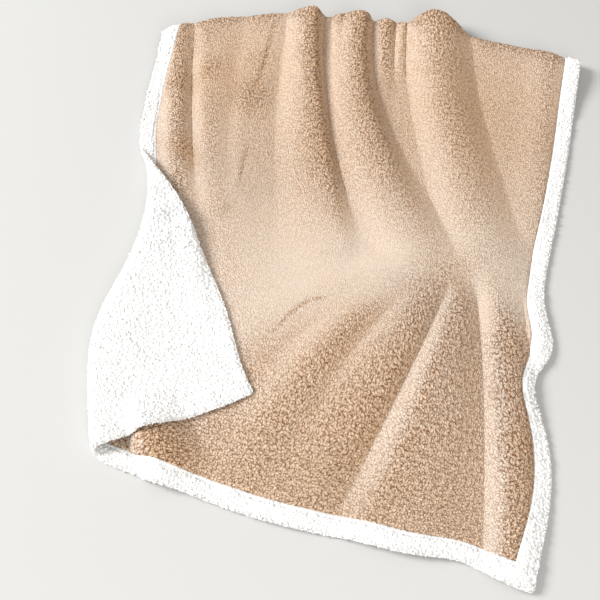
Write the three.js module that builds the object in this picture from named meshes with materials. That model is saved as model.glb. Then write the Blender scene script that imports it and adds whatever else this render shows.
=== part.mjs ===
// A reversible sherpa throw: a tan face and a white back that is turned over the edges as a hem.
// It lies on a flat surface with its face up. The near left corner is turned over, so that its
// white back shows, and the far end is folded under. Soft ridges run down from the far end and
// fan out towards the near right corner.
// Millimetres, +Z up, +X across the throw and +Y from its near edge to its far end.

import * as THREE from "three";
import { mergeVertices } from "three/addons/utils/BufferGeometryUtils.js";

// Cut sizes
const width = 1270;
const length = 1524;
const hem = 46;
const edgeRound = 3;

// Plies, as heights above the outside of the back
const backTop = 5;
const sewn = 0.4;
const faceUnder = backTop + sewn;
const seam = 0.3; // gap along the seam between the face and the hem
const clothTop = 9.3;

// The near left corner is turned over on a line that cuts both edges
const cornerUp = 836;
const cornerAcross = 390;
const cornerBend = 20;
const cornerSettle = 85; // the turned corner sinks to the cloth below it over this distance
const clear = 2;

// The far end is folded under on a curved line
const underLeft = 270;
const underRight = 130;
const underCurve = 5;
const underTurn = 52; // length of cloth that is used up in the bend
const underLoft = 16;
const underRamp = 120;
const underTuck = 0.035; // the hidden end is drawn in at its sides by this share

// How the cloth is pushed off its flat rectangle: [across, along] at three places of a section
const sections = [
  { at: 0, left: [-115, 190], middle: [-75, 54], right: [-72, 35] },
  { at: 240, left: [-140, 138], middle: [-32, 28], right: [-60, 35] },
  { at: 480, left: [6, 86], middle: [0, 46], right: [-118, 25] },
  { at: 720, left: [84, 76], middle: [-12, 50], right: [-124, 15] },
  { at: 960, left: [66, 40], middle: [-20, 50], right: [-112, 18] },
  { at: 1200, left: [44, 6], middle: [-25, 48], right: [-106, 22] },
  { at: 1440, left: [30, -8], middle: [-30, 42], right: [-110, 28] },
];

// Local pushes of the cloth in its own plane
const nudges = [
  { at: [1270, 560], size: 75, push: [34, 0] }, // bulge of the right edge
  { at: [1270, 425], size: 60, push: [-14, 0] },
  { at: [1120, 0], size: 95, push: [0, 30] }, // bay in the near edge
  { at: [930, 0], size: 150, push: [0, 20] },
  { at: [210, 665], size: 180, push: [70, 14] }, // the turned corner's side bows out
  { at: [420, 480], size: 180, push: [38, 4] },
  { at: [30, 730], size: 110, push: [0, 28] }, // and its fold is drawn up at its far end
  { at: [380, 60], size: 150, push: [-14, -10] }, // low end of the turned corner's fold
  { at: [820, 1400], size: 70, push: [0, 30] }, // far end of the largest ridge
];

// Ridges, on the ground plan of the laid throw. The columns are the crest's line by its start,
// middle and end, the widths of its west side, towards -X, and of its east one at the line's start
// and end, its heights at the start, middle and end, the roundness of each side's foot, and its
// lean, over 0 to the east
const ridgeColumns = ["line", "west", "east", "high", "foot", "lean"];
const ridges = named([
  [[[76, 1310], [148, 1040], [232, 800]], [60, 60], [40, 40], [10, 18, 8], [2, 1.6], 0],
  [[[155, 1330], [234, 1052], [345, 765]], [55, 62], [110, 46], [7, 14, 6], [1.7, 1.6], 0],
  [[[330, 1420], [322, 1110], [372, 830]], [100, 60], [120, 110], [6, 9, 7], [1.8, 2], 0],
  [[[320, 1380], [318, 1180], [335, 980]], [18, 16], [16, 16], [2, 4, 1], [2, 2], 0],
  [[[392, 1540], [488, 1145], [652, 735]], [62, 155], [26, 52], [22, 34, 6], [1.6, 1.5], 0.1],
  [[[402, 1540], [430, 1400], [466, 1230]], [38, 36], [34, 28], [24, 16, 2], [1.6, 1.5], 0.1],
  [[[488, 1540], [505, 1380], [536, 1240]], [22, 22], [20, 20], [12, 12, 2], [1.6, 1.6], 0],
  [[[558, 1540], [619, 1155], [850, 770]], [76, 124], [22, 92], [22, 38, 14], [1.5, 1.5], 0],
  [[[612, 1540], [638, 1380], [672, 1210]], [36, 34], [30, 28], [18, 13, 2], [1.6, 1.6], 0],
  [[[662, 1540], [680, 1380], [700, 1280]], [20, 20], [16, 18], [9, 8, 2], [1.6, 1.6], 0],
  [[[740, 1560], [854, 1160], [1040, 735]], [84, 112], [90, 92], [44, 35, 15], [1.3, 1.3], -0.15],
  [[[1070, 1540], [1095, 1200], [1110, 900]], [90, 90], [36, 36], [5, 7, 5], [2, 2], 0],
  [[[500, 440], [700, 600], [985, 765]], [90, 80], [90, 120], [3, 8, 9], [2, 2], 0],
  [[[900, 680], [838, 440], [735, 120]], [56, 220], [46, 72], [3, 23, 9], [1.5, 1.5], 0],
  [[[966, 700], [934, 430], [888, 110]], [48, 106], [34, 235], [3, 29, 15], [1.5, 1.6], 0],
  [[[985, 500], [990, 330], [1000, 130]], [50, 60], [45, 70], [2, 6, 4], [2, 2], 0],
  [[[1020, 740], [1096, 455], [1152, 70]], [60, 66], [74, 80], [7, 25, 15], [1.5, 1.8], 0],
  [[[1115, 700], [1140, 600], [1155, 520]], [30, 30], [40, 40], [5, 11, 4], [1.6, 2], 0],
  [[[800, 625], [692, 430], [605, 120]], [70, 130], [50, 70], [3, 17, 7], [1.6, 1.6], 0],
  [[[340, 200], [380, 135], [450, 60]], [40, 40], [90, 104], [16, 38, 10], [1.6, 1.3], 0],
]);
const ridgeSteps = 24;
const ridgeJoin = 2.5; // where ridges cross, the higher one leads

// Soft creases of the turned corner alone
const cornerRidges = named([
  [[[200, 900], [285, 700], [400, 470]], [45, 45], [26, 26], [6, 9, 3], [2, 1.4], 0],
  [[[245, 340], [330, 300], [430, 330]], [50, 50], [50, 50], [3, 7, 3], [2, 2], 0],
]);

function named(rows) {
  return rows.map((row) => Object.fromEntries(ridgeColumns.map((name, i) => [name, row[i]])));
}

// Mesh lines
const columnsAcross = 46;
const rowsLow = 18;
const rowsHigh = 9;
const lowShare = 0.56; // the part of the cloth's length that has the closer rows
const turnRows = [-30, -14, 0, 13, 26, 39, 52];
const rowsHidden = 4;
const slopeStep = 0.5;

// Where the middle of the laid throw's box falls on the ground plan
const planMiddle = [625.4, 770];

const tan = new THREE.MeshStandardMaterial({ color: 0xd9b896, roughness: 0.95, metalness: 0 });
const white = new THREE.MeshStandardMaterial({ color: 0xf4f3ef, roughness: 0.95, metalness: 0 });

const { PI, cos, sin, min, max, hypot } = Math;
const mix = THREE.MathUtils.lerp;
const ramp = THREE.MathUtils.smoothstep;

// The line that the corner is turned over on, as a unit normal and its distance from the corner
const cornerNormal = new THREE.Vector2(cornerUp, cornerAcross).normalize();
const cornerReach = cornerUp * cornerNormal.y;

// Where the far end turns under, along the column at u
function underFold(u) {
  const hidden = mix(underRight, underLeft, (1 - u / width) ** underCurve);
  return length - hidden;
}

// A curve through three values at 0, 0.5 and 1
function through(a, b, c, t) {
  return a * (1 - t) * (1 - 2 * t) + b * 4 * t * (1 - t) + c * t * (2 * t - 1);
}

// A smooth curve through the sections' values, at y
function alongSections(place, axis, y) {
  const step = sections[1].at - sections[0].at;
  const last = sections.length - 2;
  const k = min(max(Math.floor(y / step), 0), last);
  const t = (y - sections[k].at) / step;
  const value = (row) => sections[min(max(row, 0), last + 1)][place][axis];
  const slopeHere = (value(k + 1) - value(k - 1)) / 2;
  const slopeNext = (value(k + 2) - value(k)) / 2;
  const rise = value(k + 1) - value(k);
  const bend = 3 * rise - 2 * slopeHere - slopeNext;
  return value(k) + t * (slopeHere + t * (bend + t * (slopeHere + slopeNext - 2 * rise)));
}

// From the folded rectangle to the ground plan
function plan(x, y) {
  const moved = [x, y].map((value, axis) => {
    const pushes = ["left", "middle", "right"].map((place) => alongSections(place, axis, y));
    return value + through(...pushes, x / width);
  });
  for (const { at, size, push } of nudges) {
    const share = Math.exp(-((x - at[0]) ** 2 + (y - at[1]) ** 2) / size ** 2);
    moved[0] += share * push[0];
    moved[1] += share * push[1];
  }
  return moved;
}

// A ridge's crest as a chain of points, each with its height
function crestOf({ line, high }) {
  const [xs, ys] = [0, 1].map((axis) => line.map((point) => point[axis]));
  return Array.from({ length: ridgeSteps + 1 }, (_, i) => {
    const t = i / ridgeSteps;
    return [through(...xs, t), through(...ys, t), through(...high, t)];
  });
}
for (const ridge of [...ridges, ...cornerRidges]) ridge.crest = crestOf(ridge);

// The height of one ridge at a place on the plan, and which way east is across it
function ridgeAt(ridge, x, y) {
  let near = Infinity;
  let found;
  for (let i = 0; i < ridgeSteps; i++) {
    const [ax, ay, ah] = ridge.crest[i];
    const [bx, by, bh] = ridge.crest[i + 1];
    const [dx, dy] = [bx - ax, by - ay];
    const size = hypot(dx, dy);
    const t = min(max(((x - ax) * dx + (y - ay) * dy) / size ** 2, 0), 1);
    const [px, py] = [x - ax - t * dx, y - ay - t * dy];
    const away = hypot(px, py);
    if (away >= near) continue;
    near = away;
    const east = [-dy / size, dx / size];
    const side = px * east[0] + py * east[1];
    found = { east, side, high: mix(ah, bh, t), along: (i + t) / ridgeSteps };
  }
  const toEast = near > 0 ? (1 + found.side / near) / 2 : 0.5;
  const [west, east] = [ridge.west, ridge.east].map((ends) => mix(...ends, found.along));
  const reach = mix(west, east, toEast);
  const foot = mix(...ridge.foot, toEast);
  const share = max(cos((PI / 2) * min(near / reach, 1)), 0) ** foot;
  return { high: found.high * share, east: found.east };
}

// The height and the sideways lean of a table of ridges at a place on the plan
function relief(table, x, y) {
  let total = 0;
  const lean = [0, 0];
  for (const ridge of table) {
    const { high, east } = ridgeAt(ridge, x, y);
    const shift = ridge.lean * high;
    total += max(high, 0) ** ridgeJoin;
    lean[0] += shift * east[0];
    lean[1] += shift * east[1];
  }
  return { high: total ** (1 / ridgeJoin), lean };
}

// Where a point of the back's outside lies: u across and v along the flat cloth
function lie(u, v) {
  const foldAt = underFold(u);
  const past = v - foldAt;
  const corner = cornerReach - u * cornerNormal.x - v * cornerNormal.y;
  const spot = new THREE.Vector2(u, min(v, foldAt));
  let stacked = 0;
  let share = 1;
  let turned = 0;

  // The turned-over corner
  if (corner > 0) {
    const turn = min(corner / cornerBend, PI);
    const beyond = max(corner - PI * cornerBend, 0);
    spot.addScaledVector(cornerNormal, corner - cornerBend * sin(turn) + beyond);
    const low = 2 * clothTop + clear;
    const settled = low + (2 * cornerBend - low) * Math.exp(-((beyond / cornerSettle) ** 2));
    stacked = beyond > 0 ? settled : cornerBend * (1 - cos(turn));
    turned = ramp(beyond, 0, 2 * cornerBend);
  }

  // The cloth that lies on the hidden end
  const hiddenEdge = foldAt - (length - foldAt - underTurn);
  const lift = ramp(spot.y, hiddenEdge - underRamp, hiddenEdge - 3 * clear) * (clothTop + clear);
  const loft = underLoft * ramp(spot.y, foldAt - underRamp, foldAt);
  stacked += lift + loft;

  // The hidden end and its bend
  if (past > 0) {
    const turn = (PI * min(past, underTurn)) / underTurn;
    share = (1 + cos(turn)) / 2;
    const crest = relief(ridges, ...plan(u, foldAt));
    const bendHigh = stacked + crest.high - clothTop;
    spot.y += (bendHigh / 2) * sin(turn) - max(past - underTurn, 0);
    spot.x = mix(spot.x, width / 2, underTuck * (1 - share));
    const [x, y] = plan(spot.x, spot.y);
    const [leanX, leanY] = crest.lean.map((value) => share * value);
    return new THREE.Vector3(x + leanX, y + leanY, clothTop + share * bendHigh);
  }

  const [x, y] = plan(spot.x, spot.y);
  const ground = relief(ridges, x, y);
  const crease = turned > 0 ? turned * relief(cornerRidges, x, y).high : 0;
  return new THREE.Vector3(x + ground.lean[0], y + ground.lean[1], ground.high + stacked + crease);
}

// The direction from the back to the face at u, v
function facing(u, v) {
  const across = lie(u + slopeStep, v).sub(lie(u - slopeStep, v));
  const along = lie(u, v + slopeStep).sub(lie(u, v - slopeStep));
  return across.cross(along).normalize();
}

// The rings of mesh lines round the cloth: its edge and the hem's inner edge, with one line between
const edgeRing = 0;
const hemRing = 2;
const noHole = Infinity;

// The mesh lines across the cloth
function columnLines() {
  const step = (width - 2 * hem) / columnsAcross;
  const across = Array.from({ length: columnsAcross + 1 }, (_, i) => hem + i * step);
  return [0, hem / 2, ...across, width - hem / 2, width];
}

// The mesh lines along the cloth, in the column at u: they follow the fold of the far end
function rowLines(u) {
  const foldAt = underFold(u);
  const start = foldAt + turnRows[0];
  const end = foldAt + turnRows.at(-1);
  const change = mix(hem, start, lowShare);
  const low = Array.from({ length: rowsLow }, (_, i) => mix(hem, change, i / rowsLow));
  const high = Array.from({ length: rowsHigh }, (_, i) => mix(change, start, i / rowsHigh));
  const left = length - hem - end;
  const hidden = Array.from({ length: rowsHidden }, (_, i) => end + (left * (i + 1)) / rowsHidden);
  const turn = turnRows.map((row) => foldAt + row);
  return [0, hem / 2, ...low, ...high, ...turn, ...hidden, length - hem / 2, length];
}

// A grid of the cloth's points, with its outermost lines moved in by rounding
function grid(rounding) {
  const shift = (i, last) => (i === 0 ? rounding : i === last ? -rounding : 0);
  const columns = columnLines();
  return columns.map((line, i) => {
    const u = line + shift(i, columns.length - 1);
    const rows = rowLines(u);
    return rows.map((row, j) => {
      const v = row + shift(j, rows.length - 1);
      return { u, v, point: lie(u, v), out: facing(u, v) };
    });
  });
}

// The same grid with one ring drawn in by a gap, along its own straight cells
function drawnIn(points, ring, gap) {
  const inward = (i, last) => (i === ring ? 1 : i === last - ring ? -1 : 0);
  const moved = (from, to) => {
    const apart = from.point.distanceTo(to.point);
    const share = apart > 0 ? gap / apart : 0;
    const point = from.point.clone().lerp(to.point, share);
    const out = from.out.clone().lerp(to.out, share);
    return { point, out };
  };
  const [lastColumn, lastRow] = [points.length - 1, points[0].length - 1];
  const across = points.map((column, i) =>
    column.map((spot, j) => moved(spot, points[i + inward(i, lastColumn)][j])),
  );
  return across.map((column) =>
    column.map((spot, j) => moved(spot, column[j + inward(j, lastRow)])),
  );
}

// Which way each cell of a grid is split: along the diagonal that lies nearer to the cloth
function splits(points) {
  const middle = (a, b) => a.point.clone().add(b.point).multiplyScalar(0.5);
  return points.slice(1).map((column, i) =>
    column.slice(1).map((far, j) => {
      const [near, right, left] = [points[i][j], points[i + 1][j], points[i][j + 1]];
      const centre = lie((near.u + far.u) / 2, (near.v + far.v) / 2);
      return middle(near, far).distanceTo(centre) < middle(right, left).distanceTo(centre);
    }),
  );
}

const cellSplits = splits(grid(0));

// The point of a grid at i, j, raised from the outside of the back to a level in the cloth
function raised(points, i, j, level) {
  const { point, out } = points[i][j];
  return point.clone().addScaledVector(out, level);
}

// One ply as a closed mesh, from level skins and upright walls on a grid's lines
class Ply {
  constructor() {
    this.corners = [];
  }

  quad(a, b, c, d, flip, split) {
    const order = split ? [a, b, c, a, c, d] : [a, b, d, b, c, d];
    if (flip) order.reverse();
    for (const p of order) this.corners.push(...p.toArray());
  }

  // The skin inside ring outer of the grid's lines, and outside ring inner where there is one
  skin(points, outer, inner, level, up) {
    const [lastColumn, lastRow] = [points.length - 1, points[0].length - 1];
    const at = (i, j) => raised(points, i, j, level);
    for (let i = outer; i < lastColumn - outer; i++) {
      for (let j = outer; j < lastRow - outer; j++) {
        const inHole = i >= inner && i < lastColumn - inner && j >= inner && j < lastRow - inner;
        if (inHole) continue;
        this.quad(at(i, j), at(i + 1, j), at(i + 1, j + 1), at(i, j + 1), !up, cellSplits[i][j]);
      }
    }
  }

  // The wall round a ring, from one grid and level up to another
  wall(ring, lower, low, upper, high, outward) {
    const right = lower.length - 1 - ring;
    const far = lower[0].length - 1 - ring;
    const loop = [];
    for (let i = ring; i < right; i++) loop.push([i, ring]);
    for (let j = ring; j < far; j++) loop.push([right, j]);
    for (let i = right; i > ring; i--) loop.push([i, far]);
    for (let j = far; j > ring; j--) loop.push([ring, j]);
    loop.forEach((here, k) => {
      const next = loop[(k + 1) % loop.length];
      const foot = [here, next].map((place) => raised(lower, ...place, low));
      const head = [next, here].map((place) => raised(upper, ...place, high));
      this.quad(...foot, ...head, !outward, false);
    });
  }

  mesh(name, material) {
    const loose = new THREE.BufferGeometry();
    loose.setAttribute("position", new THREE.Float32BufferAttribute(this.corners, 3));
    const geometry = mergeVertices(loose);
    geometry.translate(-planMiddle[0], -planMiddle[1], 0);
    geometry.computeVertexNormals();
    const mesh = new THREE.Mesh(geometry, material);
    mesh.name = name;
    return mesh;
  }
}

// The white back, one cloth that is turned over its own edges as the hem
function backPanel() {
  const points = grid(edgeRound);
  const rim = grid(0);
  const ply = new Ply();
  ply.skin(points, edgeRing, noHole, 0, false);
  ply.wall(edgeRing, points, 0, rim, clothTop / 2, true);
  ply.wall(edgeRing, rim, clothTop / 2, points, clothTop, true);
  ply.skin(points, edgeRing, hemRing, clothTop, true);
  ply.wall(hemRing, points, faceUnder, points, clothTop, false);
  ply.wall(hemRing, points, backTop, points, faceUnder, false);
  ply.skin(points, hemRing, noHole, backTop, true);
  return ply.mesh("back_panel", white);
}

// The tan face, sewn in along the inner edge of the hem
function facePanel() {
  const points = drawnIn(grid(0), hemRing, seam);
  const ply = new Ply();
  ply.skin(points, hemRing, noHole, faceUnder, false);
  ply.wall(hemRing, points, faceUnder, points, clothTop, true);
  ply.skin(points, hemRing, noHole, clothTop, true);
  return ply.mesh("face_panel", tan);
}

const throwBlanket = new THREE.Group();
throwBlanket.name = "sherpa_throw";
throwBlanket.add(backPanel(), facePanel());

export default throwBlanket;
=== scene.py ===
"""A reversible sherpa throw, laid face up: a tan face inside a white hem, the near left corner
turned over to show the white back, and the far end folded under. Lengths are in millimetres on
the flat cloth and on the ground plan, and in metres once a piece is made."""

import math

import bmesh
import bpy
import numpy as np
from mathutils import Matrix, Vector


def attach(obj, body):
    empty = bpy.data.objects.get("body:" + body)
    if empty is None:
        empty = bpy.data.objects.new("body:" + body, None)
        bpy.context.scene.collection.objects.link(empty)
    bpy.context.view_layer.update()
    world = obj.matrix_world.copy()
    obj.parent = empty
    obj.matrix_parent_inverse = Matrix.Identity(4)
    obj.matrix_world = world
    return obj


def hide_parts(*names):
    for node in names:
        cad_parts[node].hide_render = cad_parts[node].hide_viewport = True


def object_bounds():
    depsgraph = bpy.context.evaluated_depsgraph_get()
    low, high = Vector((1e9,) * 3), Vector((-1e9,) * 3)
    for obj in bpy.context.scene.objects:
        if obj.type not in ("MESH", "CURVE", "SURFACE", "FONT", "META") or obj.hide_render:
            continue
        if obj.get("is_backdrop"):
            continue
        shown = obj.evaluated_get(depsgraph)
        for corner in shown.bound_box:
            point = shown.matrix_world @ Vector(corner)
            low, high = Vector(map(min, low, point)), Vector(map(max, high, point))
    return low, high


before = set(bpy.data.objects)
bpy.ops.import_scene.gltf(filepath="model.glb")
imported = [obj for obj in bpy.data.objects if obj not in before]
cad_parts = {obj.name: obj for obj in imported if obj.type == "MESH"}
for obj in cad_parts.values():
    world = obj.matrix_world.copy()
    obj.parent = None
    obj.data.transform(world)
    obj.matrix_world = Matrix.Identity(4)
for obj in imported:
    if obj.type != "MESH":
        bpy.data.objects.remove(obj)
cad_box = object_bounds()

MM = 0.001

# The throw's cut sizes, and the levels of its cloths above the back's outside
WIDTH = 1270
LENGTH = 1524
HEM = 46
CLOTH_TOP = 9.3
BACK_TOP = 5
FACE_UNDER = 5.4

# The near left corner is turned over on a line that cuts the left edge and the near edge here
CORNER_UP = 836
CORNER_ACROSS = 390
# Its bend's radius, how soon it settles past the bend, and the gap left under it
CORNER_BEND = 20
CORNER_SETTLE = 85
CLEAR = 2
# The way across the line towards the cloth that stays, and the line's distance from the corner
CORNER_NORMAL = np.array([CORNER_UP, CORNER_ACROSS]) / math.hypot(CORNER_UP, CORNER_ACROSS)
CORNER_REACH = CORNER_UP * CORNER_NORMAL[1]

# The far end is folded under on a curved line, by these lengths at the left and the right. The
# higher the curve's power, the nearer the left it turns.
UNDER_LEFT = 270
UNDER_RIGHT = 130
UNDER_CURVE = 5
# The length of its bend and its loft, the rise of the cloth before it, and the tuck of its sides
UNDER_TURN = 52
UNDER_LOFT = 16
UNDER_RAMP = 120
UNDER_TUCK = 0.035

# How the cloth is pushed off its flat rectangle, at steps from the near end: (across, along) at
# the left, middle and right
SECTION_STEP = 240
SECTIONS = [
    {"left": (-115, 190), "middle": (-75, 54), "right": (-72, 35)},
    {"left": (-140, 138), "middle": (-32, 28), "right": (-60, 35)},
    {"left": (6, 86), "middle": (0, 46), "right": (-118, 25)},
    {"left": (84, 76), "middle": (-12, 50), "right": (-124, 15)},
    {"left": (66, 40), "middle": (-20, 50), "right": (-112, 18)},
    {"left": (44, 6), "middle": (-25, 48), "right": (-106, 22)},
    {"left": (30, -8), "middle": (-30, 42), "right": (-110, 28)},
]

# Local pushes of the cloth in its own plane
NUDGES = [
    {"at": (1270, 560), "size": 75, "push": (34, 0)},
    {"at": (1270, 425), "size": 60, "push": (-14, 0)},
    {"at": (1120, 0), "size": 95, "push": (0, 30)},
    {"at": (930, 0), "size": 150, "push": (0, 20)},
    {"at": (210, 665), "size": 180, "push": (70, 14)},
    {"at": (420, 480), "size": 180, "push": (38, 4)},
    {"at": (30, 730), "size": 110, "push": (0, 28)},
    {"at": (380, 60), "size": 150, "push": (-14, -10)},
    {"at": (820, 1400), "size": 70, "push": (0, 30)},
]

# Ridges on the ground plan: the crest's line, the widths of its west and east sides at the line's
# start and end, the heights at the start, middle and end, the roundness of each side and its lean
RIDGE_KEYS = ("line", "west", "east", "high", "foot", "lean")
RIDGES = [
    (((76, 1310), (148, 1040), (232, 800)), (60, 60), (40, 40), (10, 18, 8), (2, 1.6), 0),
    (((155, 1330), (234, 1052), (345, 765)), (55, 62), (110, 46), (7, 14, 6), (1.7, 1.6), 0),
    (((330, 1420), (322, 1110), (372, 830)), (100, 60), (120, 110), (6, 9, 7), (1.8, 2), 0),
    (((320, 1380), (318, 1180), (335, 980)), (18, 16), (16, 16), (2, 4, 1), (2, 2), 0),
    (((392, 1540), (488, 1145), (652, 735)), (62, 155), (26, 52), (22, 34, 6), (1.6, 1.5), 0.1),
    (((402, 1540), (430, 1400), (466, 1230)), (38, 36), (34, 28), (24, 16, 2), (1.6, 1.5), 0.1),
    (((488, 1540), (505, 1380), (536, 1240)), (22, 22), (20, 20), (12, 12, 2), (1.6, 1.6), 0),
    (((558, 1540), (619, 1155), (850, 770)), (76, 124), (22, 92), (22, 38, 14), (1.5, 1.5), 0),
    (((612, 1540), (638, 1380), (672, 1210)), (36, 34), (30, 28), (18, 13, 2), (1.6, 1.6), 0),
    (((662, 1540), (680, 1380), (700, 1280)), (20, 20), (16, 18), (9, 8, 2), (1.6, 1.6), 0),
    (((740, 1560), (854, 1160), (1040, 735)), (84, 112), (90, 92), (44, 35, 15), (1.3, 1.3), -0.15),
    (((1070, 1540), (1095, 1200), (1110, 900)), (90, 90), (36, 36), (5, 7, 5), (2, 2), 0),
    (((500, 440), (700, 600), (985, 765)), (90, 80), (90, 120), (3, 8, 9), (2, 2), 0),
    (((900, 680), (838, 440), (735, 120)), (56, 220), (46, 72), (3, 23, 9), (1.5, 1.5), 0),
    (((966, 700), (934, 430), (888, 110)), (48, 106), (34, 235), (3, 29, 15), (1.5, 1.6), 0),
    (((985, 500), (990, 330), (1000, 130)), (50, 60), (45, 70), (2, 6, 4), (2, 2), 0),
    (((1020, 740), (1096, 455), (1152, 70)), (60, 66), (74, 80), (7, 25, 15), (1.5, 1.8), 0),
    (((1115, 700), (1140, 600), (1155, 520)), (30, 30), (40, 40), (5, 11, 4), (1.6, 2), 0),
    (((800, 625), (692, 430), (605, 120)), (70, 130), (50, 70), (3, 17, 7), (1.6, 1.6), 0),
    (((340, 200), (380, 135), (450, 60)), (40, 40), (90, 104), (16, 38, 10), (1.6, 1.3), 0),
]
CORNER_RIDGES = [
    (((200, 900), (285, 700), (400, 470)), (45, 45), (26, 26), (6, 9, 3), (2, 1.4), 0),
    (((245, 340), (330, 300), (430, 330)), (50, 50), (50, 50), (3, 7, 3), (2, 2), 0),
]
# Small pressed creases of the face, on the flat cloth, as troughs with the same columns
CREASES = [
    (((322, 1327), (322, 1217), (317, 1087)), (11, 11), (9, 9), (0.5, 2, 0.5), (1.5, 1.5), 0),
    (((332, 917), (312, 832), (282, 752)), (11, 11), (9, 9), (0.5, 2, 0.5), (1.5, 1.5), 0),
    (((538, 392), (580, 484), (652, 524)), (12, 9), (10, 8), (0.5, 2.4, 1.5), (1.5, 1.5), 0),
]
# The straight steps that a crest's line is measured in, how crisply ridges join, and the margin
# kept round each
RIDGE_STEPS = 24
RIDGE_JOIN = 2.5
RIDGE_MARGIN = 20

# Where the middle of the laid throw's box falls on the ground plan
PLAN_MIDDLE = (625.4, 770.0)


# The folds: from the flat cloth to the laid throw

def mix(a, b, share):
    """From a to b, by a share from 0 to 1."""
    return a + (b - a) * share


def ramp(value, low, high):
    """A smooth rise from 0 at low to 1 at high."""
    t = np.clip((value - low) / (high - low), 0, 1)
    return t * t * (3 - 2 * t)


def under_fold(u):
    """Where the far end turns under, along the column at u."""
    return LENGTH - mix(UNDER_RIGHT, UNDER_LEFT, np.clip(1 - u / WIDTH, 0, 1) ** UNDER_CURVE)


def unit(vectors):
    """Vectors at a length of 1."""
    return vectors / np.linalg.norm(vectors, axis=-1, keepdims=True)


def through(values, t):
    """A curve through three values at 0, 0.5 and 1."""
    a, b, c = values
    return a * (1 - t) * (1 - 2 * t) + b * 4 * t * (1 - t) + c * t * (2 * t - 1)


def along_sections(place, axis, y):
    """A smooth curve through the sections' values, at y."""
    row = [section[place][axis] for section in SECTIONS]
    values = np.array(row[:1] + row + row[-1:], float)
    k = np.clip(np.floor(y / SECTION_STEP).astype(int), 0, len(SECTIONS) - 2)
    t = y / SECTION_STEP - k
    before, here, after, beyond = (values[k + i] for i in range(4))
    slope_here, slope_next, rise = (after - before) / 2, (beyond - here) / 2, after - here
    bend = 3 * rise - 2 * slope_here - slope_next
    return here + t * (slope_here + t * (bend + t * (slope_here + slope_next - 2 * rise)))


def plan(x, y):
    """From the folded rectangle to the ground plan."""
    moved = []
    for axis, value in enumerate((x, y)):
        pushes = [along_sections(place, axis, y) for place in ("left", "middle", "right")]
        moved.append(value + through(pushes, x / WIDTH))
    for nudge in NUDGES:
        away = (x - nudge["at"][0]) ** 2 + (y - nudge["at"][1]) ** 2
        share = np.exp(-away / nudge["size"] ** 2)
        moved = [m + share * push for m, push in zip(moved, nudge["push"])]
    return moved


def ridge_at(ridge, x, y):
    """The height of one ridge at places on the plan, and which way east is across it."""
    steps = np.linspace(0, 1, RIDGE_STEPS + 1)
    crest = [through(values, steps) for values in (*zip(*ridge["line"]), ridge["high"])]
    near = np.full(x.shape, np.inf)
    side, high, along = np.zeros(x.shape), np.zeros(x.shape), np.zeros(x.shape)
    east = np.zeros((2, *x.shape))
    for i in range(RIDGE_STEPS):
        (ax, bx), (ay, by), (ah, bh) = (values[i : i + 2] for values in crest)
        dx, dy = bx - ax, by - ay
        size = math.hypot(dx, dy)
        t = np.clip(((x - ax) * dx + (y - ay) * dy) / size**2, 0, 1)
        px, py = x - ax - t * dx, y - ay - t * dy
        away = np.hypot(px, py)
        closer = away < near
        near = np.where(closer, away, near)
        side = np.where(closer, (py * dx - px * dy) / size, side)
        high = np.where(closer, mix(ah, bh, t), high)
        along = np.where(closer, (i + t) / RIDGE_STEPS, along)
        east = np.where(closer, np.array([[-dy / size], [dx / size]]), east)
    share = (1 + side / np.maximum(near, 1e-9)) / 2
    reach = mix(mix(*ridge["west"], along), mix(*ridge["east"], along), share)
    foot = mix(*ridge["foot"], share)
    return high * np.cos(np.pi / 2 * np.clip(near / reach, 0, 1)) ** foot, east


def relief(table, x, y):
    """The height and the sideways lean of a table of ridges at places on the plan."""
    total, lean = np.zeros(x.shape), np.zeros((2, *x.shape))
    for row in table:
        ridge = dict(zip(RIDGE_KEYS, row))
        xs, ys = zip(*ridge["line"])
        reach = max(*ridge["west"], *ridge["east"]) + RIDGE_MARGIN
        near = (x > min(xs) - reach) & (x < max(xs) + reach)
        near &= (y > min(ys) - reach) & (y < max(ys) + reach)
        if not near.any():
            continue
        high, east = ridge_at(ridge, x[near], y[near])
        total[near] += np.maximum(high, 0) ** RIDGE_JOIN
        lean[:, near] += ridge["lean"] * high * east
    return total ** (1 / RIDGE_JOIN), lean


def corner_side(u, v):
    """Over 0 in the turned-over corner: the distance past the line of its fold."""
    return CORNER_REACH - u * CORNER_NORMAL[0] - v * CORNER_NORMAL[1]


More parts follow.
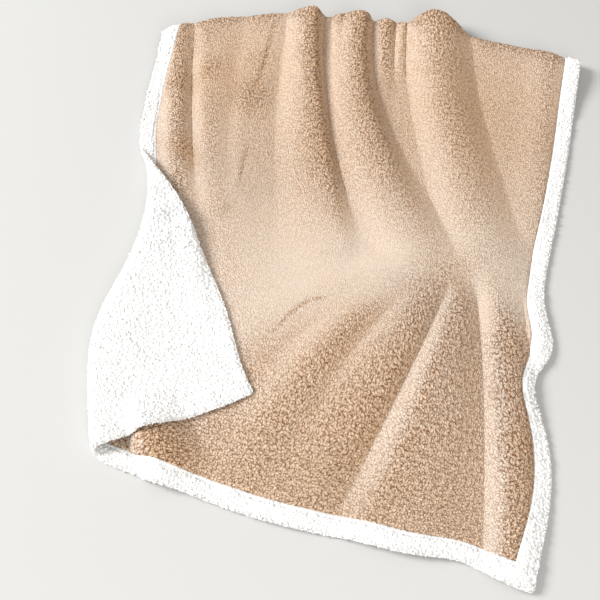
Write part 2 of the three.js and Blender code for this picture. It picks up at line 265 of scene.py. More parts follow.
def lie(u, v):
    """Where the back's outside lies, for points u across and v along the flat cloth."""
    fold_at = under_fold(u)
    past = np.maximum(v - fold_at, 0)
    corner = corner_side(u, v)
    x, y = u + 0.0, np.minimum(v, fold_at)

    # The turned-over corner
    turn = np.clip(corner / CORNER_BEND, 0, np.pi)
    beyond = np.maximum(corner - np.pi * CORNER_BEND, 0)
    slide = np.where(corner > 0, corner - CORNER_BEND * np.sin(turn) + beyond, 0)
    x, y = x + slide * CORNER_NORMAL[0], y + slide * CORNER_NORMAL[1]
    low = 2 * CLOTH_TOP + CLEAR
    settled = low + (2 * CORNER_BEND - low) * np.exp(-((beyond / CORNER_SETTLE) ** 2))
    stacked = np.where(beyond > 0, settled, CORNER_BEND * (1 - np.cos(turn)))
    turned = ramp(beyond, 0, 2 * CORNER_BEND)

    # The cloth that lies on the hidden end
    hidden_edge = fold_at - (LENGTH - fold_at - UNDER_TURN)
    stacked += ramp(y, hidden_edge - UNDER_RAMP, hidden_edge - 3 * CLEAR) * (CLOTH_TOP + CLEAR)
    stacked += UNDER_LOFT * ramp(y, fold_at - UNDER_RAMP, fold_at)

    # The hidden end and its bend
    hidden = past > 0
    turn = np.pi * np.minimum(past, UNDER_TURN) / UNDER_TURN
    share = (1 + np.cos(turn)) / 2
    high, lean = relief(RIDGES, *plan(x, y))
    bend_high = stacked + high - CLOTH_TOP
    y = np.where(hidden, fold_at + bend_high / 2 * np.sin(turn), y)
    y = y - np.maximum(past - UNDER_TURN, 0)
    x = np.where(hidden, mix(u, WIDTH / 2, UNDER_TUCK * (1 - share)), x)
    crease = np.where(turned > 0, turned * relief(CORNER_RIDGES, *plan(x, y))[0], 0)
    z = np.where(hidden, CLOTH_TOP + share * bend_high, high + stacked + crease)
    x, y = plan(x, y)
    return np.stack([x + share * lean[0], y + share * lean[1], z], axis=-1)


def facing(u, v, step=0.5):
    """The direction from the back to the face."""
    across = lie(u + step, v) - lie(u - step, v)
    along = lie(u, v + step) - lie(u, v - step)
    return unit(np.cross(across, along))


def heading(u, v, way):
    """The direction, on the laid throw, of ways across and along the flat cloth."""
    half_across, half_along = way.T / 2
    ahead = lie(u + half_across, v + half_along)
    return unit(ahead - lie(u - half_across, v - half_along))


def convexity(u, v, reach=34):
    """How far the cloth stands proud of its surroundings, in mm: over 0 on crests."""
    around = lie(u + reach, v) + lie(u - reach, v) + lie(u, v + reach) + lie(u, v - reach)
    return np.sum((lie(u, v) - around / 4) * facing(u, v), axis=-1)


def from_edge(u, v):
    """Distance from the cut edge of the throw, on the flat cloth."""
    return np.minimum(np.minimum(u, WIDTH - u), np.minimum(v, LENGTH - v))


def covered(u, v):
    """How far inside the turned-over corner's outline a place below it lies, in mm."""
    beyond = -corner_side(u, v)
    back = 2 * beyond + np.pi * CORNER_BEND
    source = np.minimum(u - back * CORNER_NORMAL[0], v - back * CORNER_NORMAL[1])
    return np.where(beyond > 0, np.minimum(source, beyond + 2 * CORNER_BEND), -1)


def jitter(column, row, seed):
    """Two even random numbers from 0 to 1 for each cell of a grid."""
    # Any large uneven factors serve here
    base = column * 127.1 + row * 311.7 + seed * 74.7
    return [np.modf(np.abs(np.sin(base + k) * 43758.5453))[0] for k in (0.0, 9.2)]


def crumbs(u, v, crumb):
    """Curls of pile: over 0 in the middle of each, and under 0 in the cracks between them."""
    bent = u + swell(u, v, *crumb["bend"])
    across, along = bent / crumb["size"], v / (crumb["size"] * crumb["stretch"])
    column, row = np.floor(across), np.floor(along)
    nearest = np.full(u.shape, 9.0)
    second = nearest.copy()
    for i in (-1, 0, 1):
        for j in (-1, 0, 1):
            dx, dy = jitter(column + i, row + j, crumb["seed"])
            away = np.hypot(column + i + dx - across, row + j + dy - along)
            second = np.minimum(second, np.maximum(nearest, away))
            nearest = np.minimum(nearest, away)
    return ramp(second - nearest, 0, crumb["crack"]) - crumb["middle"]


def swell(u, v, high, size, seed):
    """A soft random swell, up to a height above and below 0, of a size in mm."""
    # Four waves that run at uneven angles and steps, so that the swell doesn't repeat
    total = np.zeros(u.shape)
    for k in range(1, 5):
        angle = seed * 1.7 + k * 2.4
        phase = seed * 5.1 + k * 1.9
        step = (u * math.cos(angle) + v * math.sin(angle)) / size * (0.7 + 0.22 * k)
        total += np.sin(2 * np.pi * step + phase + 1.3 * np.sin(step * 2.1 + k))
    return high * (total / 4)


def trough(away, deep, wide):
    """The depth of a soft trough, at a distance from its middle line."""
    return deep * np.exp(-((away / wide) ** 2))


def in_metres(spots):
    """From mm on the ground plan to metres in the shared frame."""
    return (spots - np.array([*PLAN_MIDDLE, 0])) * MM


# The looks

# The two cloths: their colours, their curls and the clumps of curls as (across, along, crack) in
# mm, the curls' depth in mm, how dark the gaps between curls are, and the sheen. The cracks
# colour is partly painted shade in the gaps between curls.
TAN_SHERPA = {
    "tips": "#d6c4b3", "depths": "#d6ab7e", "cracks": "#78491d",
    "curl": (6.0, 7.4, 1.35), "clump": (10.0, 18.0, 1.7),
    "depth": 2.2, "contrast": 1.0, "sheen": 0.2,
}
# The white's grey depths colour gives the painted shade in the turned corner's trough, and a faint
# grey elsewhere
WHITE_SHERPA = {
    "tips": "#f3f2f0", "depths": "#cfd1d2", "cracks": "#d8d8d4",
    "curl": (6.5, 7.0, 1.6), "clump": (12.0, 14.0, 1.4),
    "depth": 0.5, "contrast": 0.25, "sheen": 0.1,
}

# Sizes in mm of the patterns that both share. A real strand is under 0.1 mm thick, too fine to
# show, so the strands are drawn as a soft noise as coarse as this.
STRAND = 2.4
STRAND_HIGH = 0.8
CLUMP_HIGH = 2.4
# The noise that bends the curls out of line, and how far it does so across and along
BEND_SIZE = 9
BEND_ACROSS, BEND_ALONG = 6, 7
# How far in from its edge a curl is rounded, as a share of it
DOME_EDGE = 0.34
# Broken lengths of crack, patches where clumps part, and the mottle of the whole cloth
BREAK_SIZE = 7
PATCH_SIZE = 14
MOTTLE_SIZE = 55


def linear(colour):
    """An sRGB hex colour as linear red, green, blue and alpha."""
    values = [int(colour[i : i + 2], 16) / 255 for i in (1, 3, 5)]
    return [c / 12.92 if c <= 0.04045 else ((c + 0.055) / 1.055) ** 2.4 for c in values] + [1]


def add(tree, kind, inputs, output=None, **settings):
    """Adds a node with its settings. An input is another node's output or a plain value."""
    node = tree.nodes.new(kind)
    for name, value in settings.items():
        setattr(node, name, value)
    for name, value in inputs.items():
        if isinstance(value, bpy.types.NodeSocket):
            tree.links.new(value, node.inputs[name])
        else:
            node.inputs[name].default_value = value
    return node.outputs[output] if output else next(out for out in node.outputs if out.enabled)


def sherpa(name, look):
    """Sherpa: a knitted polyester pile, brushed and tumbled into small soft curls. The eye gets a
    matt crumbly surface: pale and smooth where the pile is pressed, a deeper colour where it
    opens, and dark cracks between clumps of curls on the crests, their dark partly painted shade.
    The tone attribute that mixes pale and deep also carries painted light and painted shade."""
    material = bpy.data.materials.new(name)
    material.use_nodes = True
    tree = material.node_tree
    shader = tree.nodes["Principled BSDF"]
    shader.inputs["Roughness"].default_value = 0.95
    shader.inputs["Specular IOR Level"].default_value = 0.2
    shader.inputs["Sheen Weight"].default_value = look["sheen"]
    shader.inputs["Sheen Roughness"].default_value = 0.45
    shader.inputs["Sheen Tint"].default_value = linear(look["tips"])

    uv = add(tree, "ShaderNodeUVMap", {}, uv_map="cloth")
    opened = add(tree, "ShaderNodeAttribute", {}, "Fac", attribute_name="opened")

    # The curls' places, bent out of line by a soft noise
    bends = add(tree, "ShaderNodeTexNoise", {"Vector": uv, "Scale": 1 / (BEND_SIZE * MM)}, "Color")
    bent = add(
        tree, "ShaderNodeVectorMath", {0: bends, 1: (BEND_ACROSS * MM, BEND_ALONG * MM, 0), 2: uv},
        operation="MULTIPLY_ADD",
    )

    # Curls, and the larger clumps that they part into: 0 at their edges and up to 1 in the middle
    domes, gaps = {}, {}
    for part in ("curl", "clump"):
        across, along, crack = look[part]
        spread = add(
            tree, "ShaderNodeMapping",
            {"Vector": bent, "Scale": (1 / (across * MM), 1 / (along * MM), 1)},
        )
        edge = add(
            tree, "ShaderNodeTexVoronoi", {"Vector": spread, "Scale": 1.0},
            voronoi_dimensions="2D", feature="DISTANCE_TO_EDGE",
        )
        domes[part] = add(
            tree, "ShaderNodeMapRange", {"Value": edge, "From Max": DOME_EDGE},
            interpolation_type="SMOOTHSTEP",
        )
        gaps[part] = add(
            tree, "ShaderNodeMapRange",
            {"Value": edge, "From Max": crack / across, "To Min": 1.0, "To Max": 0.0},
            interpolation_type="SMOOTHSTEP",
        )
    strands = add(
        tree, "ShaderNodeTexNoise",
        {"Vector": uv, "Scale": 1 / (STRAND * MM), "Detail": 3.0, "Roughness": 0.7},
        noise_dimensions="2D",
    )

    # Where clumps part: on open pile, in patches. Their cracks, and the curls' own, are broken up.
    patchy = add(
        tree, "ShaderNodeTexNoise", {"Vector": uv, "Scale": 1 / (PATCH_SIZE * MM), "Detail": 2.0},
    )
    uneven = add(tree, "ShaderNodeMath", {0: patchy, 1: 0.9, 2: opened}, operation="MULTIPLY_ADD")
    parted = add(
        tree, "ShaderNodeMapRange", {"Value": uneven, "From Min": 0.8, "From Max": 1.35},
        interpolation_type="SMOOTHSTEP",
    )
    loose = add(
        tree, "ShaderNodeMapRange",
        {"Value": opened, "From Min": 0.15, "From Max": 0.65, "To Min": 0.22},
    )
    breaks = add(
        tree, "ShaderNodeTexNoise", {"Vector": uv, "Scale": 1 / (BREAK_SIZE * MM), "Detail": 1.0},
    )
    broken = add(tree, "ShaderNodeMapRange", {"Value": breaks, "From Min": 0.4, "From Max": 0.55})

    # Height in mm: curls, strands and then clumps
    low = add(tree, "ShaderNodeMath", {0: domes["curl"], 1: loose}, operation="MULTIPLY")
    low = add(tree, "ShaderNodeMath", {0: low, 1: look["depth"]}, operation="MULTIPLY")
    fuzzy = add(
        tree, "ShaderNodeMath", {0: strands, 1: STRAND_HIGH, 2: low}, operation="MULTIPLY_ADD",
    )
    deep = add(tree, "ShaderNodeMath", {0: domes["clump"], 1: parted}, operation="MULTIPLY")
    high = add(
        tree, "ShaderNodeMath", {0: deep, 1: CLUMP_HIGH, 2: fuzzy}, operation="MULTIPLY_ADD",
    )
    bump = add(tree, "ShaderNodeBump", {"Height": high, "Strength": 1.0, "Distance": MM})
    tree.links.new(bump, shader.inputs["Normal"])

    # Colour: tips, then the pile's depths by its tone, which is deeper where the pile opens and
    # where shade is painted, then the gaps and cracks, darkened partly as painted shade
    mottle = add(
        tree, "ShaderNodeTexNoise", {"Vector": uv, "Scale": 1 / (MOTTLE_SIZE * MM), "Detail": 4.0},
    )
    tone = add(tree, "ShaderNodeAttribute", {}, "Fac", attribute_name="tone")
    shaded = add(tree, "ShaderNodeMath", {0: mottle, 1: 0.3, 2: tone}, operation="MULTIPLY_ADD")
    shaded = add(tree, "ShaderNodeMapRange", {"Value": shaded, "From Min": 0.15, "From Max": 1.15})
    pile = add(
        tree, "ShaderNodeMix",
        {"Factor": shaded, 6: linear(look["tips"]), 7: linear(look["depths"])}, data_type="RGBA",
    )
    thin = add(tree, "ShaderNodeMath", {0: gaps["curl"], 1: loose}, operation="MULTIPLY")
    thin = add(tree, "ShaderNodeMath", {0: thin, 1: broken}, operation="MULTIPLY")
    thin = add(tree, "ShaderNodeMath", {0: thin, 1: look["contrast"]}, operation="MULTIPLY")
    wide = add(tree, "ShaderNodeMath", {0: gaps["clump"], 1: parted}, operation="MULTIPLY")
    wide = add(tree, "ShaderNodeMath", {0: wide, 1: broken}, operation="MULTIPLY")
    dark = add(tree, "ShaderNodeMath", {0: thin, 1: wide}, operation="MAXIMUM")
    paint = add(
        tree, "ShaderNodeMix", {"Factor": dark, 6: pile, 7: linear(look["cracks"])},
        data_type="RGBA",
    )
    tree.links.new(paint, shader.inputs["Base Color"])
    return material


# Cloth pieces, made flat and then laid in the folds

# A mesh cell in mm, and the cuts that split it where pile shows on the face and on the back
CELL = 24
FACE_CUTS = 5
BACK_CUTS = 6

# The rounding of the cut edge, and the step down from the hem to the cloth under the face
EDGE_ROUND = 6
HEM_STEP = 0.3

# The hem's row of stitches: in from the hem's inner edge, and from one stitch to the next
STITCH_IN = 9
STITCH_STEP = 8

# How far fine pile runs on past where it stops showing: round the corner's bend, under the
# corner for the face and for the hem, and round the far end
ROUND_CORNER = 20
UNDER_CORNER = 30
UNDER_CORNER_HEM = 12
ROUND_END = 30

# Where the face's crumb starts to fade and where it is gone, in mm past the far fold, past the
# corner's fold and inside the turned corner's outline
END_FADE = (10, UNDER_TURN - 8)
CORNER_FADE = (-6, 10)
COVER_FADE = (2, 22)
# Where the crumb of the corner's white outside starts and is full, in mm past the corner's fold
OUTSIDE_RISE = (0, 30)

# The crumb of each cloth: its curls' size in mm and how long they are for it, the width of a
# crack as a share of a curl, the level that counts as 0, and the swell that bends them
FACE_CRUMB = {
    "size": 8.5, "stretch": 1.5, "crack": 0.45, "middle": 0.55, "seed": 1, "bend": (3, 60, 3),
}
HEM_CRUMB = {
    "size": 7.5, "stretch": 1.1, "crack": 0.45, "middle": 0.5, "seed": 2, "bend": (2, 40, 6),
}

# Its height in mm, on the face where the pile is pressed and where it is open, and on the hem
PRESSED_HIGH = 0.5
OPEN_HIGH = 1.8
HEM_HIGH = 2.2

# Slow swells of the face and of the hem, as (height, size, seed)
FACE_SWELL = (0.3, 120, 5)
HEM_SWELL = (0.8, 38, 9)

# The hem's crown, the least thickness of the face, and the troughs of the seam on the face and on
# the hem and of the stitches, as (deep, wide)
HEM_CROWN = 1.6
FACE_LEAST = 0.8
FACE_SEAM = (3.2, 4.5)
HEM_SEAM = (2.6, 3)
STITCHED = (1.8, 3)

# The line, on the ground plan, past which the face's pile opens and deepens in tone towards the
# near end, the deeper tone partly painted shade, and where that starts and is full
FRONT_LINE = ((511, 450), (940, 770))
FRONT_FADE = (-30, 90)

# How the face's pile changes in tone and opens: everywhere, past that line (its deeper tone
# partly painted shade), for each mm that a crest stands proud, on slopes that face left towards
# the key lamp (a paler tone as painted light, and the pile pressed smoother), on slopes that face
# right (a deeper tone as painted shade), and in creases
CHANGES = {
    "everywhere": {"tone": 0.06, "opened": 0.4},
    "front": {"tone": 0.32, "opened": 0.18},
    "proud": {"tone": 0.018, "opened": 0.06},
    "lit_and_pressed": {"tone": -0.35, "opened": -0.22},
    "turned": {"tone": 0.2, "opened": 0.0},
    "creased": {"tone": 0.12, "opened": 0.12},
}

# The slopes where the painted light of left-facing slopes and the painted shade of right-facing
# slopes start and are full, the share of that painted light and pressing that is left behind the
# line, and the most that a crest counts as proud
LIT_SLOPE = (0.06, 0.36)
SHADED_SLOPE = (0.06, 0.4)
LIT_BEHIND = 0.4
PROUD_MOST = 9

# Where the face's tone is painted deeper as shade or paler as light, and where its pile is more
# open or pressed together, on the flat cloth
PAINTED_LIGHT_AND_NAP = [
    {"at": (620, 1250), "size": 500, "tone": 0.28, "opened": 0.05},
    {"at": (1060, 1150), "size": 230, "tone": 0.25, "opened": 0.05},
    {"at": (190, 1120), "size": 190, "tone": 0.25, "opened": 0.0},
    {"at": (127, 827), "size": 50, "tone": 0.4, "opened": 0.15},
    {"at": (560, 900), "size": 160, "tone": 0.15, "opened": 0.15},
    {"at": (310, 1080), "size": 60, "tone": 0.1, "opened": 0.3},
    {"at": (567, 560), "size": 210, "tone": -0.12, "opened": -0.25},
    {"at": (1190, 700), "size": 120, "tone": -0.6, "opened": -0.3},
    {"at": (1168, 510), "size": 46, "tone": 0.1, "opened": 0.3},
    {"at": (1182, 400), "size": 50, "tone": 0.1, "opened": 0.4},
    {"at": (1177, 290), "size": 46, "tone": 0.1, "opened": 0.3},
    {"at": (800, 650), "size": 110, "tone": -0.25, "opened": -0.2},
    {"at": (942, 580), "size": 90, "tone": -0.1, "opened": 0.15},
    {"at": (1100, 430), "size": 230, "tone": -0.2, "opened": -0.03},
    {"at": (420, 250), "size": 150, "tone": -0.3, "opened": 0.0},
    {"at": (467, 67), "size": 60, "tone": 0.1, "opened": 0.2},
    {"at": (760, 330), "size": 240, "tone": 0.08, "opened": 0.05},
]

# Painted shade on the back's white pile: a greyer tone in the trough of the turned corner
PAINTED_TROUGH_SHADE = [
    {"at": (27, 627), "size": 26, "tone": 0.6},
    {"at": (35, 557), "size": 32, "tone": 0.8},
    {"at": (40, 480), "size": 34, "tone": 0.5},
]

# The white pile's level and its swells as (height, size, seed), for how far it opens and its tone
WHITE_OPENED = 0.55
WHITE_OPENED_SWELL = (0.2, 90, 8)
WHITE_TONE = 0.12
WHITE_TONE_SWELL = (0.1, 70, 4)


def lines(start, end, cell):
    """Even mesh lines from start to end, about a cell apart."""
    return list(np.linspace(start, end, round((end - start) / cell) + 1))


def hem_lines(length):
    """Mesh lines over the whole cloth, with the hem's own lines at both ends."""
    inner = HEM + HEM_STEP
    inside = lines(inner, length - inner, CELL)
    return [0, HEM / 2, HEM, *inside, length - HEM, length - HEM / 2, length]


def slab(lines_across, lines_along):
    """A closed flat slab one unit thick on a grid's lines, as a bmesh with its lines in mm."""
    bm = bmesh.new()
    across, along = len(lines_across) - 1, len(lines_along) - 1
    bmesh.ops.create_grid(bm, x_segments=across, y_segments=along, size=1)
    for vert in bm.verts:
        i, j = (vert.co.x + 1) / 2 * across, (vert.co.y + 1) / 2 * along
        vert.co.x = np.interp(i, range(across + 1), lines_across)
        vert.co.y = np.interp(j, range(along + 1), lines_along)
    grown = bmesh.ops.extrude_face_region(bm, geom=bm.faces[:])
    top = [item for item in grown["geom"] if isinstance(item, bmesh.types.BMVert)]
    bmesh.ops.translate(bm, verts=top, vec=(0, 0, 1))
    bmesh.ops.recalc_face_normals(bm, faces=bm.faces)
    return bm


def refine(bm, wanted, cuts):
    """Splits the faces that wanted picks by their middle, so that fine pile can be shaped there."""
    picked = wanted(*np.array([face.calc_center_median() for face in bm.faces]).T)
    faces = [face for face, pick in zip(bm.faces, picked) if pick]
    edges = dict.fromkeys(edge for face in faces for edge in face.edges)
    bmesh.ops.subdivide_edges(bm, edges=list(edges), cuts=cuts, use_grid_fill=True)


def add_piece(name, mesh, material):
    """Puts a mesh in the scene as a piece of the throw."""
    mesh.shade_smooth()
    mesh.materials.append(material)
    piece = bpy.data.objects.new(name, mesh)
    bpy.context.scene.collection.objects.link(piece)
    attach(piece, "root")
    return piece


def finished(name, bm, material, place):
    """Makes a piece of a flat bmesh: place gives each vertex its spot in mm and its attributes."""
    mesh = bpy.data.meshes.new(name)
    uv = bm.loops.layers.uv.new("cloth")
    for face in bm.faces:
        for loop in face.loops:
            loop[uv].uv = (loop.vert.co.x * MM, loop.vert.co.y * MM)
    bm.to_mesh(mesh)
    bm.free()
    flat = np.empty(len(mesh.vertices) * 3)
    mesh.vertices.foreach_get("co", flat)
    spots, attributes = place(*flat.reshape(-1, 3).T)
    mesh.vertices.foreach_set("co", in_metres(spots).ravel())
    for key, values in attributes.items():
        mesh.attributes.new(key, "FLOAT", "POINT").data.foreach_set("value", values)
    return add_piece(name, mesh, material)


def patches(table, key, u, v):
    """The sum of a table's soft round patches, for one of its columns."""
    total = np.zeros(u.shape)
    for patch in table:
        away = (u - patch["at"][0]) ** 2 + (v - patch["at"][1]) ** 2
        total += patch[key] * np.exp(-away / patch["size"] ** 2)
    return total


def tan_pile(u, v):
    """How far the face's pile opens, from 0 where it is pressed together to 1 on crests, and its
    tone. Both are low on the left flanks of the folds, which face the key lamp: the paler tone
    there is painted light, and the pile there is pressed smoother. The tone is deeper on slopes
    that face right, as painted shade, and past the front line, partly as painted shade."""
    x, y = plan(u, v)
    (ax, ay), (bx, by) = FRONT_LINE
    past = ((x - ax) * (by - ay) - (y - ay) * (bx - ax)) / math.hypot(bx - ax, by - ay)
    front = ramp(past, *FRONT_FADE)
    slope = facing(u, v)[..., 0]
    amounts = {
        "everywhere": 1,
        "front": front,
        "proud": np.clip(convexity(u, v), 0, PROUD_MOST),
        # Painted light on slopes that face left, towards the key lamp, and painted shade on slopes
        # that face right
        "lit_and_pressed": ramp(-slope, *LIT_SLOPE) * mix(LIT_BEHIND, 1, front),
        "turned": ramp(slope, *SHADED_SLOPE),
        "creased": relief(CREASES, u, v)[0],
    }

    def level(key, least, most):
        folds = sum(CHANGES[place][key] * amount for place, amount in amounts.items())
        return np.clip(folds + patches(PAINTED_LIGHT_AND_NAP, key, u, v), least, most)

    return {
        "opened": level("opened", least=0.1, most=1),
        "tone": level("tone", least=0, most=1.3),
    }


def white_pile(u, v):
    """How far the white pile opens, and its tone, with painted shade in the turned corner's trough.
    """
    opened = WHITE_OPENED + swell(u, v, *WHITE_OPENED_SWELL)
    tone = WHITE_TONE + swell(u, v, *WHITE_TONE_SWELL) + patches(PAINTED_TROUGH_SHADE, "tone", u, v)
    return {"opened": np.clip(opened, 0, 1), "tone": np.clip(tone, 0, 1)}


def place_face(u, v, t):
    """Lays the face in the folds, with its crumb where it shows, and drawn in along its seam."""
    hidden = ramp(v - under_fold(u), *END_FADE)
    inside = np.maximum(
        ramp(corner_side(u, v), *CORNER_FADE), ramp(covered(u, v), *COVER_FADE),
    )
    bare = (1 - hidden) * (1 - inside)
    looks = tan_pile(u, v)
    height = mix(PRESSED_HIGH, OPEN_HIGH, looks["opened"]) * crumbs(u, v, FACE_CRUMB)
    height += swell(u, v, *FACE_SWELL)
    drawn = trough(from_edge(u, v) - HEM, *FACE_SEAM)
    top = CLOTH_TOP + (height - drawn - relief(CREASES, u, v)[0]) * bare
    level = mix(FACE_UNDER, np.maximum(top, FACE_UNDER + FACE_LEAST), t)
    return lie(u, v) + facing(u, v) * level[:, None], looks


def face_cloth(material):
    """The tan face: it replaces the plain solid of the face."""
    bm = slab(lines(HEM, WIDTH - HEM, CELL), lines(HEM, LENGTH - HEM, CELL))

    def shows(u, v, t):
        out = (v - under_fold(u) < UNDER_TURN) & (corner_side(u, v) < ROUND_CORNER)
        return (t > 0.9) & out & (covered(u, v) < UNDER_CORNER)

    refine(bm, shows, FACE_CUTS)
    piece = finished("face_cloth", bm, material, place_face)
    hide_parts("face_panel")
    return piece


def place_back(u, v, t):
    """Lays the back in the folds, with its hem crowned, crumbed and drawn in by its stitches, and
    the outside crumbed on the turned corner."""
    edge = from_edge(u, v)
    seam = HEM - edge
    lumps = HEM_HIGH * crumbs(u, v, HEM_CRUMB) + swell(u, v, *HEM_SWELL)
    lumps *= ramp(seam, 0, STITCH_IN)
    crown = HEM_CROWN * np.sin(np.pi * np.clip(edge / HEM, 0, 1))
    drawn = trough(seam, *HEM_SEAM) + trough(seam - STITCH_IN, *STITCHED)
    hem_top = CLOTH_TOP + crown - drawn + lumps
    top = np.where(edge < HEM + HEM_STEP / 2, hem_top, BACK_TOP)
    under = -lumps * ramp(corner_side(u, v), *OUTSIDE_RISE)
    middle = CLOTH_TOP / 2
    rounded = np.sqrt(np.clip(edge / EDGE_ROUND, 0, 1))
    level = middle + (mix(under, top, t) - middle) * rounded
    spots = lie(u, v) + facing(u, v) * level[:, None]
    spots[:, 2] = np.maximum(spots[:, 2], 0)
    return spots, white_pile(u, v)


def back_cloth(material):
    """The white back with its hem: it replaces the plain solid of the back."""
    bm = slab(hem_lines(WIDTH), hem_lines(LENGTH))

    def shows(u, v, t):
        hem = (from_edge(u, v) < HEM) & (t > 0.1)
        return hem | ((t < 0.1) & (corner_side(u, v) > -ROUND_CORNER))

    refine(bm, shows, BACK_CUTS)
    piece = finished("back_cloth", bm, material, place_back)
    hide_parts("back_panel")
    return piece


# Tufts of pile and stitches, as joined meshes

# How far apart tufts stand on the hem, along its rim and on the turned corner
HEM_APART = 6.6
RIM_APART = 5.5
CORNER_APART = 7.6

# A tuft's half length, half width and half height, and how much tufts differ in their lean, size,
# bend and tone
TUFT = (5.04, 3.57, 1.89)
TUFT_LEAN = 0.35
TUFT_SIZES = (0.8, 1.25)
TUFT_BEND = 0.7
TUFT_TONE = 0.15

# Where tufts sit: above the hem's top, sunk in the corner's outside, in from the cut edge at the
# rim, and up from the rim's middle, by shares between these two
HEM_LIFT = 0.6
CORNER_SINK = 0.5
RIM_INSET = 0.5
RIM_RISE = 2.2
RIM_SHARES = (-0.3, 1)

# A stitch's half length, half width and half height, the dip of its ends and how deep it sits
STITCH = (0.36 * STITCH_STEP, 0.7, 0.9)
STITCH_DIP = 0.5
STITCH_SINK = 0.7


def scattered(step, seed):
    """Spots all over the flat cloth, about a step apart and out of line at random."""
    rng = np.random.default_rng(seed)
    u, v = np.meshgrid(np.arange(step / 2, WIDTH, step), np.arange(step / 2, LENGTH, step))
    u, v = (line.ravel() + rng.uniform(-0.5, 0.5, line.size) * step for line in (u, v))
    return u, v


def beside_edges(across, along, inset):
    """Spots on four lines, in from the cut edges, with the way out of the cloth at each."""
    sides = [
        (across, np.full(across.shape, inset), 0, -1),
        (across, np.full(across.shape, LENGTH - inset), 0, 1),
        (np.full(along.shape, inset), along, -1, 0),
        (np.full(along.shape, WIDTH - inset), along, 1, 0),
    ]
    u, v = (np.concatenate([side[i] for side in sides]) for i in (0, 1))
    out = np.concatenate([np.tile(side[2:], (len(side[0]), 1)) for side in sides])
    return u, v, out


def curl_shape():
    """One plain tuft, a unit ball of 20 faces: its points and its faces."""
    bm = bmesh.new()
    bmesh.ops.create_icosphere(bm, subdivisions=1, radius=1)
    bm.verts.index_update()
    points = np.array([vert.co for vert in bm.verts])
    faces = np.array([[vert.index for vert in face.verts] for face in bm.faces])
    bm.free()
    return points, faces


def stamped(spots, sizes, axes):
    """The points of a copy at each spot: sizes along the copy's own three axes."""
    return spots[:, None] + sum(
        np.atleast_2d(size)[..., None] * axis[:, None] for size, axis in zip(sizes, axes)
    )


def joined(name, points, faces, u, v, tones, material):
    """One white mesh from an array of copies: points holds each copy's points, in mm. Its pile
    counts as pressed together, because each copy is a curl of its own."""
    copies, count = points.shape[:2]
    points = in_metres(points)
    points[..., 2] = np.maximum(points[..., 2], 0)
    all_faces = (faces[None] + count * np.arange(copies)[:, None, None]).reshape(-1, faces.shape[1])
    mesh = bpy.data.meshes.new(name)
    mesh.from_pydata(points.reshape(-1, 3), [], all_faces)
    flat = np.repeat(np.stack([u, v], axis=-1) * MM, faces.size, axis=0)
    mesh.uv_layers.new(name="cloth").data.foreach_set("uv", flat.ravel())
    mesh.attributes.new("opened", "FLOAT", "POINT")
    tone = mesh.attributes.new("tone", "FLOAT", "POINT")
    tone.data.foreach_set("value", np.repeat(tones, count))
    return add_piece(name, mesh, material)


def tufts(name, spots, normals, u, v, seed, material):
    """Curls of pile, bent and turned at random and half sunk in the cloth."""
    rng = np.random.default_rng(seed)
    points, faces = curl_shape()
    count = len(spots)
    normals = unit(normals + TUFT_LEAN * rng.normal(size=(count, 3)))
    along = unit(np.cross(normals, rng.normal(size=(count, 3))))
    across = np.cross(normals, along)
    long, wide, high = (half * rng.uniform(*TUFT_SIZES, (count, 1)) for half in TUFT)
    bend = rng.uniform(-TUFT_BEND, TUFT_BEND, (count, 1))
    x, y, z = points.T
    sizes = (long * x, wide * (y + bend * x**2), high * z)
    placed = stamped(spots, sizes, (along, across, normals))
    tones = white_pile(u, v)["tone"] + rng.uniform(-TUFT_TONE, TUFT_TONE, count)
    return joined(name, placed, faces, u, v, tones, material)


def hem_pile(material):
    """Tufts on the hem outside its stitches, and along its rim."""
    u, v = scattered(HEM_APART, seed=11)
    seam = HEM - from_edge(u, v)
    keep = (seam > STITCH_IN + 2) & (v < under_fold(u) + ROUND_END)
    keep &= (corner_side(u, v) < ROUND_CORNER) & (covered(u, v) < UNDER_CORNER_HEM)
    u, v = u[keep], v[keep]
    normals = facing(u, v)
    spots = lie(u, v) + normals * (CLOTH_TOP + HEM_LIFT)

    across, along = (np.arange(RIM_APART, size, RIM_APART) for size in (WIDTH, LENGTH))
    rim_u, rim_v, out = beside_edges(across, along, RIM_INSET)
    keep = rim_v < LENGTH - HEM
    rim_u, rim_v, out = rim_u[keep], rim_v[keep], out[keep]
    rise = np.random.default_rng(seed=12).uniform(*RIM_SHARES, (len(rim_u), 1))
    rim_normals = facing(rim_u, rim_v)
    rim_spots = lie(rim_u, rim_v) + rim_normals * (CLOTH_TOP / 2 + RIM_RISE * rise)
    rim_ways = heading(rim_u, rim_v, out) + rise * rim_normals

    pairs = ((spots, rim_spots), (normals, rim_ways), (u, rim_u), (v, rim_v))
    both = [np.concatenate(pair) for pair in pairs]
    return tufts("hem_pile", *both, seed=13, material=material)


def corner_pile(material):
    """Tufts on the white outside of the turned-over corner."""
    u, v = scattered(CORNER_APART, seed=21)
    keep = (corner_side(u, v) > ROUND_CORNER - 2) & (from_edge(u, v) > EDGE_ROUND / 2)
    u, v = u[keep], v[keep]
    normals = -facing(u, v)
    spots = lie(u, v) - normals * CORNER_SINK
    return tufts("corner_pile", spots, normals, u, v, seed=23, material=material)


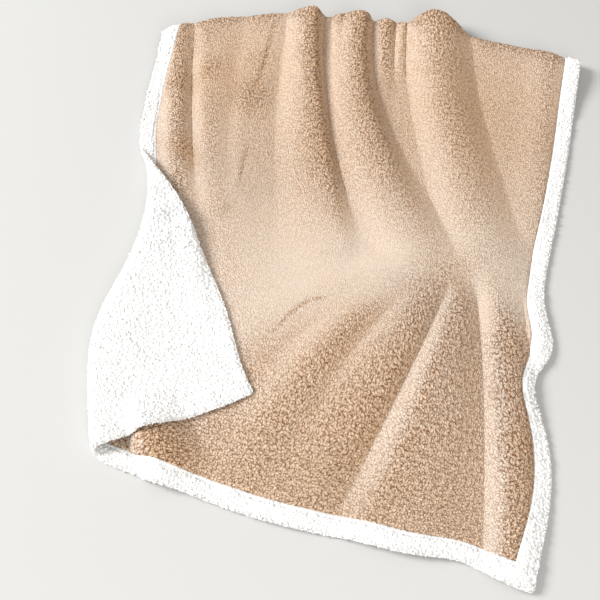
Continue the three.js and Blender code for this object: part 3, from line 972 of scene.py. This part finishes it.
def hem_stitches(material):
    """The hem's topstitching: short lengths of thread, sunk in the pile."""
    inset = HEM - STITCH_IN
    across, along = (np.arange(inset, size - inset, STITCH_STEP) for size in (WIDTH, LENGTH))
    u, v, out = beside_edges(across, along, inset)
    normals = facing(u, v)
    ahead = heading(u, v, np.abs(out[:, ::-1]))
    points, faces = curl_shape()
    x, y, z = points.T
    long, wide, high = STITCH
    sizes = (long * x, wide * y, high * z - STITCH_DIP * x**2)
    spots = lie(u, v) + normals * (CLOTH_TOP - STITCH_SINK)
    placed = stamped(spots, sizes, (ahead, np.cross(normals, ahead), normals))
    return joined("hem_stitches", placed, faces, u, v, np.ones(len(u)), material)


# Floor, light and camera

# The floor is grey enough for the white hem to be told from it
FLOOR_COLOUR = "#c2c2c0"
FLOOR_HALF = 6
ROOM_COLOUR = "#fffcf8"
ROOM_STRENGTH = 0.56

# Places and sizes in metres, and power in watts
LAMPS = {
    "key": {"place": (-7.4, -0.5, 5.2), "power": 1020, "size": 3.3},
    "front": {"place": (1.6, -3.0, 2.4), "power": 62, "size": 2.0},
}

# The camera's way round and up in degrees, its distance in metres, its lens in mm, and the spot on
# the ground plan that it looks at
VIEW_ROUND = 14
VIEW_UP = 62
VIEW_DISTANCE = 1.94
VIEW_LENS = 50
VIEW_AIM = (600, 560)


def studio():
    """A pale plain floor, a white room and soft light from the left."""
    bm = bmesh.new()
    bmesh.ops.create_grid(bm, x_segments=1, y_segments=1, size=FLOOR_HALF)
    mesh = bpy.data.meshes.new("floor")
    bm.to_mesh(mesh)
    bm.free()
    floor = bpy.data.objects.new("floor", mesh)
    bpy.context.scene.collection.objects.link(floor)
    material = bpy.data.materials.new("matt_paper")
    material.use_nodes = True
    shader = material.node_tree.nodes["Principled BSDF"]
    shader.inputs["Base Color"].default_value = linear(FLOOR_COLOUR)
    shader.inputs["Roughness"].default_value = 0.9
    mesh.materials.append(material)
    floor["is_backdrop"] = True

    world = bpy.data.worlds.new("room")
    world.use_nodes = True
    world.node_tree.nodes["Background"].inputs["Color"].default_value = linear(ROOM_COLOUR)
    world.node_tree.nodes["Background"].inputs["Strength"].default_value = ROOM_STRENGTH
    bpy.context.scene.world = world

    for name, values in LAMPS.items():
        lamp(name, **values)


def lamp(name, place, power, size):
    """A square soft lamp that shines on the middle of the throw."""
    light = bpy.data.lights.new(name, "AREA")
    light.energy = power
    light.size = size
    holder = bpy.data.objects.new(name, light)
    holder.location = place
    holder.rotation_euler = (-Vector(place)).to_track_quat("-Z", "Y").to_euler()
    bpy.context.scene.collection.objects.link(holder)


def camera():
    """The photograph's view: from in front, a little to the right, and well above."""
    azimuth, elevation = math.radians(VIEW_ROUND), math.radians(VIEW_UP)
    aim = Vector(in_metres(np.array([*VIEW_AIM, 0])))
    back = Vector((
        math.sin(azimuth) * math.cos(elevation),
        -math.cos(azimuth) * math.cos(elevation),
        math.sin(elevation),
    ))
    lens = bpy.data.cameras.new("camera")
    lens.lens = VIEW_LENS
    holder = bpy.data.objects.new("camera", lens)
    holder.location = aim + back * VIEW_DISTANCE
    holder.rotation_euler = (-back).to_track_quat("-Z", "Y").to_euler()
    bpy.context.scene.collection.objects.link(holder)
    bpy.context.scene.camera = holder


camera()
studio()
tan_sherpa = sherpa("tan_sherpa_pile", TAN_SHERPA)
white_sherpa = sherpa("white_sherpa_pile", WHITE_SHERPA)
face = face_cloth(tan_sherpa)
back = back_cloth(white_sherpa)
hem_parts = [hem_pile(white_sherpa), corner_pile(white_sherpa), hem_stitches(white_sherpa)]

bpy.context.scene.view_settings.view_transform = "Standard"

sizes = {"cad": cad_box, "visual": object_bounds()}
{key: [list(corner) for corner in box] for key, box in sizes.items()}
